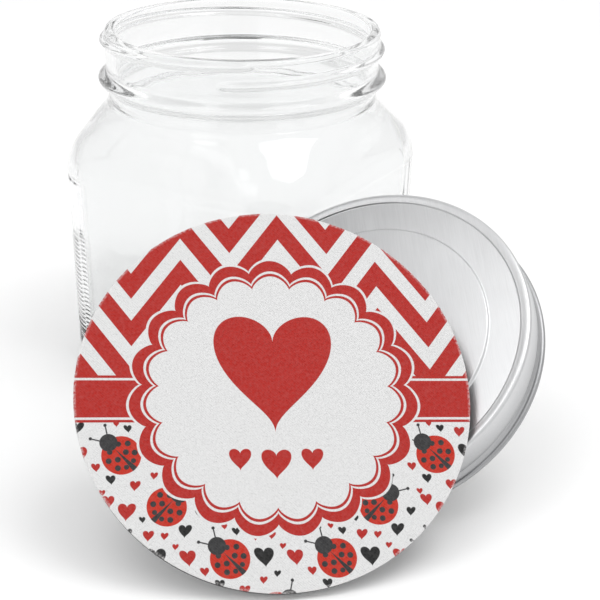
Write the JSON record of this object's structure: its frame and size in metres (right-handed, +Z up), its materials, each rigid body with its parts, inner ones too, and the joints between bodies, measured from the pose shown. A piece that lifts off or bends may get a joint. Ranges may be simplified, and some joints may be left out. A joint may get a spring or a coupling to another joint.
{
  "type": "coin bank jar",
  "caption": "Clear screw-neck jar used as a coin bank, with its slotted metal screw lid and a round fabric-faced grip pad leaning in front.",
  "frame": {"origin": "centre of the jar's flat underside", "axes": "+Z up out of the jar's mouth; the front of the set, where the lid and the pad lean, faces -Y; +X to the right seen from the front"},
  "size_m": [0.1727, 0.2725, 0.1284],
  "materials": {
    "clear_glass": "clear, polished, with slightly wavy walls",
    "satin_tinplate": "satin, fine brushed grain",
    "gasket_foam": "matt, fine closed-cell foam",
    "printed_fabric": "matt woven polyester, red, white and black print",
    "pad_rubber": "matt, fine open texture"
  },
  "bodies": {
    "jar": {"jar_body": "clear_glass"},
    "gasket": {"lid_gasket": "gasket_foam"},
    "lid": {"lid_shell": "satin_tinplate"},
    "pad": {"pad_fabric_face": "printed_fabric", "pad_rubber_back": "pad_rubber"}
  },
  "joints": [
    {"name": "lid_draw", "type": "slide", "parent": "jar", "child": "gasket", "axis": [0.9806, 0, 0.1961], "range_m": [0, 0.12]},
    {"name": "lid_turn", "type": "hinge", "parent": "gasket", "child": "lid", "pos_m": [0.0455, -0.1195, 0.0513], "axis": [-0.3333, -0.5772, 0.7455], "continuous": true},
    {"name": "pad_lift", "type": "slide", "parent": "jar", "child": "pad", "axis": [0.114, -0.72, 0.6845], "range_m": [0, 0.1]}
  ]
}
